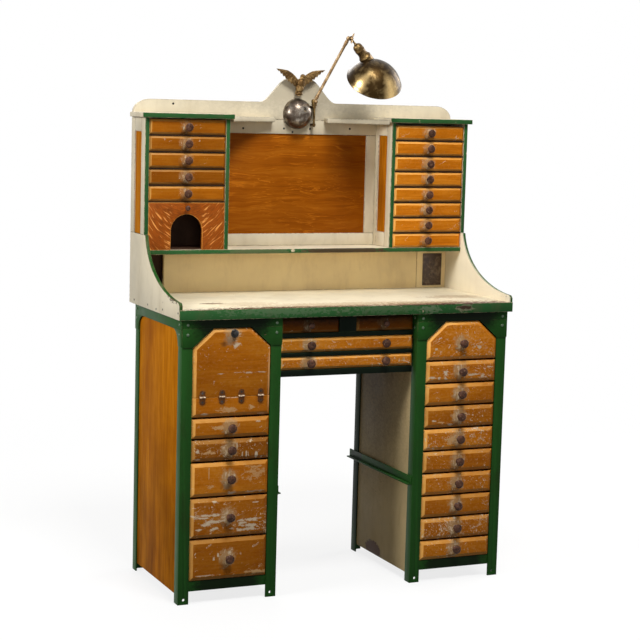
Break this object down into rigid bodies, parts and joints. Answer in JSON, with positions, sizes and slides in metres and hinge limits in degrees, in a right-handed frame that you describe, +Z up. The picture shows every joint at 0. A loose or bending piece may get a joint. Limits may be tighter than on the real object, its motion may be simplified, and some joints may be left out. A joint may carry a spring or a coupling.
{
  "type": "watchmaker workbench",
  "caption": "Painted steel and wood watchmaker workbench with two drawer pedestals, a small-drawer hutch and a swing-arm lamp.",
  "frame": {"origin": "middle of the footprint on the floor, at the centre of the overall bounding box", "axes": "+X to the sitter's right, -Y towards the sitter, +Z up"},
  "size_m": [1.244, 0.5372, 1.8695],
  "materials": {
    "green_paint": "dark green enamel, chipped on the edges",
    "green_wood": "dark green paint on wood, worn",
    "cream_paint": "aged cream paint",
    "varnished_fronts": "golden grained varnish, scratched",
    "varnished_panels": "ochre varnish with upright streaks",
    "centre_wood": "orange-brown grained varnish",
    "raw_wood": "bare pale wood",
    "hinge_steel": "dull worn steel",
    "dark_moulding": "dark brown moulding",
    "nickel": "tarnished nickel",
    "antique_brass": "antique brass, polished shade",
    "bulb_glass": "clear glass"
  },
  "bodies": {
    "bench": {"pedestal_frames": "green_paint", "gusset_plates": "green_paint", "varnished_panels": "varnished_panels", "painted_panels": "cream_paint", "drawer_runners": "raw_wood", "flap_base_panel": "varnished_fronts", "flap_hinges": "hinge_steel", "desktop": "cream_paint", "green_trim": "green_wood", "side_boards": "cream_paint", "hutch_shelf": "cream_paint", "cabinet_cases": "cream_paint", "cap_boards": "cream_paint", "hutch_back_frame": "cream_paint", "centre_panel": "centre_wood", "lower_back_board": "cream_paint", "outlet_plate": "dark_moulding", "lamp_canopy": "nickel", "bird_finial": "antique_brass"},
    "left_flap": {"left_flap": "varnished_fronts", "flap_hinge_leaves": "hinge_steel"},
    "flap_latch": {"flap_latch": "hinge_steel"},
    "lamp_swivel": {"lamp_swivel": "antique_brass"},
    "lamp_arm": {"lamp_arm": "antique_brass"},
    "lamp_head": {"lamp_socket": "antique_brass", "lamp_shade": "antique_brass", "lamp_bulb": "bulb_glass"},
    "left_drawer_1": {"left_drawer_1": "varnished_fronts"},
    "left_drawer_2": {"left_drawer_2": "varnished_fronts"},
    "left_drawer_3": {"left_drawer_3": "varnished_fronts"},
    "left_drawer_4": {"left_drawer_4": "varnished_fronts"},
    "left_drawer_5": {"left_drawer_5": "varnished_fronts"},
    "right_drawer_1": {"right_drawer_1": "varnished_fronts"},
    "right_drawer_2": {"right_drawer_2": "varnished_fronts"},
    "right_drawer_3": {"right_drawer_3": "varnished_fronts"},
    "right_drawer_4": {"right_drawer_4": "varnished_fronts"},
    "right_drawer_5": {"right_drawer_5": "varnished_fronts"},
    "right_drawer_6": {"right_drawer_6": "varnished_fronts"},
    "right_drawer_7": {"right_drawer_7": "varnished_fronts"},
    "right_drawer_8": {"right_drawer_8": "varnished_fronts"},
    "right_drawer_9": {"right_drawer_9": "varnished_fronts"},
    "right_drawer_10": {"right_drawer_10": "varnished_fronts"},
    "centre_small_drawer_left": {"centre_small_drawer_left": "varnished_fronts"},
    "centre_small_drawer_right": {"centre_small_drawer_right": "varnished_fronts"},
    "centre_wide_drawer_upper": {"centre_wide_drawer_upper": "varnished_fronts"},
    "centre_wide_drawer_lower": {"centre_wide_drawer_lower": "varnished_fronts"},
    "hutch_left_drawer_1": {"hutch_left_drawer_1": "varnished_fronts"},
    "hutch_left_drawer_2": {"hutch_left_drawer_2": "varnished_fronts"},
    "hutch_left_drawer_3": {"hutch_left_drawer_3": "varnished_fronts"},
    "hutch_left_drawer_4": {"hutch_left_drawer_4": "varnished_fronts"},
    "hutch_left_drawer_5": {"hutch_left_drawer_5": "varnished_fronts"},
    "hutch_arched_tray": {"hutch_arched_tray": "varnished_fronts"},
    "hutch_right_drawer_1": {"hutch_right_drawer_1": "varnished_fronts"},
    "hutch_right_drawer_2": {"hutch_right_drawer_2": "varnished_fronts"},
    "hutch_right_drawer_3": {"hutch_right_drawer_3": "varnished_fronts"},
    "hutch_right_drawer_4": {"hutch_right_drawer_4": "varnished_fronts"},
    "hutch_right_drawer_5": {"hutch_right_drawer_5": "varnished_fronts"},
    "hutch_right_drawer_6": {"hutch_right_drawer_6": "varnished_fronts"},
    "hutch_right_drawer_7": {"hutch_right_drawer_7": "varnished_fronts"},
    "hutch_right_drawer_8": {"hutch_right_drawer_8": "varnished_fronts"}
  },
  "joints": [
    {"name": "left_drawer_1_slide", "type": "slide", "parent": "bench", "child": "left_drawer_1", "axis": [0, -1, 0], "range_m": [0, 0.34]},
    {"name": "left_drawer_2_slide", "type": "slide", "parent": "bench", "child": "left_drawer_2", "axis": [0, -1, 0], "range_m": [0, 0.34]},
    {"name": "left_drawer_3_slide", "type": "slide", "parent": "bench", "child": "left_drawer_3", "axis": [0, -1, 0], "range_m": [0, 0.34]},
    {"name": "left_drawer_4_slide", "type": "slide", "parent": "bench", "child": "left_drawer_4", "axis": [0, -1, 0], "range_m": [0, 0.34]},
    {"name": "left_drawer_5_slide", "type": "slide", "parent": "bench", "child": "left_drawer_5", "axis": [0, -1, 0], "range_m": [0, 0.34]},
    {"name": "right_drawer_1_slide", "type": "slide", "parent": "bench", "child": "right_drawer_1", "axis": [0, -1, 0], "range_m": [0, 0.34]},
    {"name": "right_drawer_2_slide", "type": "slide", "parent": "bench", "child": "right_drawer_2", "axis": [0, -1, 0], "range_m": [0, 0.34]},
    {"name": "right_drawer_3_slide", "type": "slide", "parent": "bench", "child": "right_drawer_3", "axis": [0, -1, 0], "range_m": [0, 0.34]},
    {"name": "right_drawer_4_slide", "type": "slide", "parent": "bench", "child": "right_drawer_4", "axis": [0, -1, 0], "range_m": [0, 0.34]},
    {"name": "right_drawer_5_slide", "type": "slide", "parent": "bench", "child": "right_drawer_5", "axis": [0, -1, 0], "range_m": [0, 0.34]},
    {"name": "right_drawer_6_slide", "type": "slide", "parent": "bench", "child": "right_drawer_6", "axis": [0, -1, 0], "range_m": [0, 0.34]},
    {"name": "right_drawer_7_slide", "type": "slide", "parent": "bench", "child": "right_drawer_7", "axis": [0, -1, 0], "range_m": [0, 0.34]},
    {"name": "right_drawer_8_slide", "type": "slide", "parent": "bench", "child": "right_drawer_8", "axis": [0, -1, 0], "range_m": [0, 0.34]},
    {"name": "right_drawer_9_slide", "type": "slide", "parent": "bench", "child": "right_drawer_9", "axis": [0, -1, 0], "range_m": [0, 0.34]},
    {"name": "right_drawer_10_slide", "type": "slide", "parent": "bench", "child": "right_drawer_10", "axis": [0, -1, 0], "range_m": [0, 0.34]},
    {"name": "centre_small_drawer_left_slide", "type": "slide", "parent": "bench", "child": "centre_small_drawer_left", "axis": [0, -1, 0], "range_m": [0, 0.3]},
    {"name": "centre_small_drawer_right_slide", "type": "slide", "parent": "bench", "child": "centre_small_drawer_right", "axis": [0, -1, 0], "range_m": [0, 0.3]},
    {"name": "centre_wide_drawer_upper_slide", "type": "slide", "parent": "bench", "child": "centre_wide_drawer_upper", "axis": [0, -1, 0], "range_m": [0, 0.3]},
    {"name": "centre_wide_drawer_lower_slide", "type": "slide", "parent": "bench", "child": "centre_wide_drawer_lower", "axis": [0, -1, 0], "range_m": [0, 0.3]},
    {"name": "hutch_left_drawer_1_slide", "type": "slide", "parent": "bench", "child": "hutch_left_drawer_1", "axis": [0, -1, 0], "range_m": [0, 0.09]},
    {"name": "hutch_left_drawer_2_slide", "type": "slide", "parent": "bench", "child": "hutch_left_drawer_2", "axis": [0, -1, 0], "range_m": [0, 0.09]},
    {"name": "hutch_left_drawer_3_slide", "type": "slide", "parent": "bench", "child": "hutch_left_drawer_3", "axis": [0, -1, 0], "range_m": [0, 0.09]},
    {"name": "hutch_left_drawer_4_slide", "type": "slide", "parent": "bench", "child": "hutch_left_drawer_4", "axis": [0, -1, 0], "range_m": [0, 0.09]},
    {"name": "hutch_left_drawer_5_slide", "type": "slide", "parent": "bench", "child": "hutch_left_drawer_5", "axis": [0, -1, 0], "range_m": [0, 0.09]},
    {"name": "hutch_arched_tray_slide", "type": "slide", "parent": "bench", "child": "hutch_arched_tray", "axis": [0, -1, 0], "range_m": [0, 0.09]},
    {"name": "hutch_right_drawer_1_slide", "type": "slide", "parent": "bench", "child": "hutch_right_drawer_1", "axis": [0, -1, 0], "range_m": [0, 0.09]},
    {"name": "hutch_right_drawer_2_slide", "type": "slide", "parent": "bench", "child": "hutch_right_drawer_2", "axis": [0, -1, 0], "range_m": [0, 0.09]},
    {"name": "hutch_right_drawer_3_slide", "type": "slide", "parent": "bench", "child": "hutch_right_drawer_3", "axis": [0, -1, 0], "range_m": [0, 0.09]},
    {"name": "hutch_right_drawer_4_slide", "type": "slide", "parent": "bench", "child": "hutch_right_drawer_4", "axis": [0, -1, 0], "range_m": [0, 0.09]},
    {"name": "hutch_right_drawer_5_slide", "type": "slide", "parent": "bench", "child": "hutch_right_drawer_5", "axis": [0, -1, 0], "range_m": [0, 0.09]},
    {"name": "hutch_right_drawer_6_slide", "type": "slide", "parent": "bench", "child": "hutch_right_drawer_6", "axis": [0, -1, 0], "range_m": [0, 0.09]},
    {"name": "hutch_right_drawer_7_slide", "type": "slide", "parent": "bench", "child": "hutch_right_drawer_7", "axis": [0, -1, 0], "range_m": [0, 0.09]},
    {"name": "hutch_right_drawer_8_slide", "type": "slide", "parent": "bench", "child": "hutch_right_drawer_8", "axis": [0, -1, 0], "range_m": [0, 0.09]},
    {"name": "flap_hinge", "type": "hinge", "parent": "bench", "child": "left_flap", "pos_m": [-0.4225, -0.2475, 0.684], "axis": [1, 0, 0], "range_deg": [0, 90]},
    {"name": "latch_turn", "type": "hinge", "parent": "left_flap", "child": "flap_latch", "pos_m": [-0.4165, -0.2445, 0.891], "axis": [0, 1, 0], "range_deg": [0, 90]},
    {"name": "lamp_swing", "type": "hinge", "parent": "bench", "child": "lamp_swivel", "pos_m": [0.051, 0.2295, 1.642], "axis": [0, 0, 1], "range_deg": [-75, 15]},
    {"name": "lamp_tilt", "type": "hinge", "parent": "lamp_swivel", "child": "lamp_arm", "pos_m": [0.051, 0.2295, 1.642], "axis": [0.9205, 0.3907, 0], "range_deg": [-25, 8]},
    {"name": "lamp_head_tilt", "type": "hinge", "parent": "lamp_arm", "child": "lamp_head", "pos_m": [0.11106, 0.088, 1.86153], "axis": [-0.1736, 0.9848, 0], "range_deg": [-45, 10]}
  ]
}
